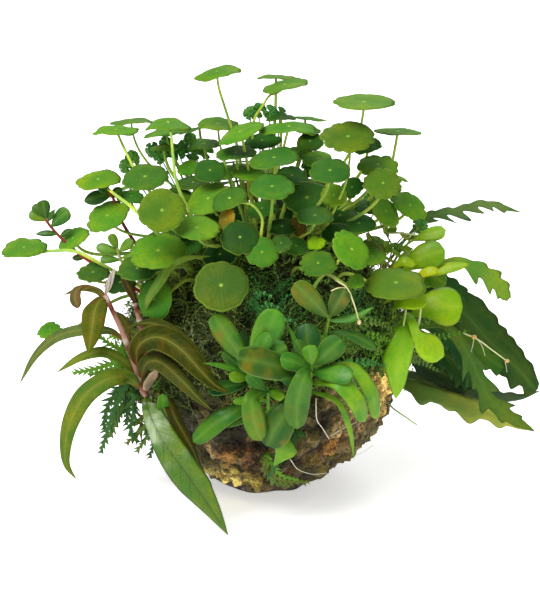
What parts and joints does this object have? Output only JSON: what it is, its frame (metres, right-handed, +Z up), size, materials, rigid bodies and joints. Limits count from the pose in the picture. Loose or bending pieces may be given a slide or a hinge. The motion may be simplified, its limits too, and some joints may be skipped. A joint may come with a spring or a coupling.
{
  "type": "aquarium plant ball",
  "caption": "Wet ball of substrate grown over with moss and planted with round, willow-shaped, lobed and spoon-shaped aquarium leaves; rests on a small flat spot.",
  "frame": {"origin": "middle of the flat spot that the ball rests on", "axes": "+Z up, -Y toward the viewer of the picture, +X to the right in the picture"},
  "size_m": [0.214, 0.1554, 0.1682],
  "materials": {
    "substrate": "wet, lumpy, dull with small glints",
    "moss": "fine dark fibres",
    "pennywort": "satin, fine rays from a pale middle",
    "bronze_leaf": "satin, pale midrib, reddish base",
    "green_willow_leaf": "glossy, silvery, with a net of veins",
    "pink_stem": "matt, finely hairy, dark red in places",
    "lobed_leaf": "satin",
    "lime_leaf": "satin to glossy",
    "rosette_leaf": "satin with an orange blush"
  },
  "bodies": {
    "root": {"bronze_leaf_1_upper": "bronze_leaf", "bronze_leaf_2_far_left": "bronze_leaf", "bronze_leaf_3_left": "bronze_leaf", "bronze_leaf_4_drooping": "bronze_leaf", "bronze_leaf_5_behind": "bronze_leaf", "bronze_leaf_6_right": "bronze_leaf", "bronze_leaf_7_low_right": "bronze_leaf", "bronze_leaf_8_front_green": "green_willow_leaf", "bronze_stem_1": "pink_stem", "bronze_stem_2": "pink_stem", "hanging_moss": "moss", "lime_leaf_1_upper": "lime_leaf", "lime_leaf_2_right": "lime_leaf", "lime_leaf_3_low_right": "lime_leaf", "lime_leaf_4_drooping": "lime_leaf", "lobed_leaf_1_top": "lobed_leaf", "lobed_leaf_2_upper": "lobed_leaf", "lobed_leaf_3_arch": "lobed_leaf", "lobed_leaf_4_bottom": "lobed_leaf", "lobed_leaf_5_front": "lobed_leaf", "moss_mat": "moss", "pennywort_leaf_01_top_left": "pennywort", "pennywort_leaf_02_top_middle": "pennywort", "pennywort_leaf_03_top_right": "pennywort", "pennywort_leaf_04_right_edge_on": "pennywort", "pennywort_leaf_05_right_big": "pennywort", "pennywort_leaf_06_left_upper": "pennywort", "pennywort_leaf_07_left_arched": "pennywort", "pennywort_leaf_08_back_middle": "pennywort", "pennywort_leaf_09_middle_slanted": "pennywort", "pennywort_leaf_10_middle_long": "pennywort", "pennywort_leaf_11_left_outer": "pennywort", "pennywort_leaf_12_left_inner": "pennywort", "pennywort_leaf_13_right_scalloped": "pennywort", "pennywort_leaf_14_right_olive": "pennywort", "pennywort_leaf_15_right_dark": "pennywort", "pennywort_leaf_16_middle_front": "pennywort", "pennywort_leaf_17_middle_high": "pennywort", "pennywort_leaf_18_left_ribbed": "pennywort", "pennywort_leaf_19_left_low": "pennywort", "pennywort_leaf_20_left_light": "pennywort", "pennywort_leaf_21_middle_dark": "pennywort", "pennywort_leaf_22_front_ribbed": "pennywort", "pennywort_leaf_23_right_steep": "pennywort", "pennywort_leaf_24_front_scalloped": "pennywort", "pennywort_leaf_25_right_low": "pennywort", "pennywort_leaf_26_right_leaning": "pennywort", "pennywort_leaf_27_left_far": "pennywort", "pennywort_leaf_28_left_tipped": "pennywort", "pennywort_leaf_29_left_slanted": "pennywort", "pennywort_leaf_30_rear_right": "pennywort", "pennywort_leaf_31_rear_upper_right": "pennywort", "pennywort_leaf_32_rear_middle": "pennywort", "pennywort_leaf_33_rear_upper_left": "pennywort", "pennywort_leaf_34_rear_left": "pennywort", "rosette_sprig_1_left": "rosette_leaf", "rosette_sprig_2_middle": "rosette_leaf", "rosette_sprig_3_low": "rosette_leaf", "rosette_sprig_4_upper": "rosette_leaf", "substrate_ball": "substrate"}
  },
  "joints": []
}
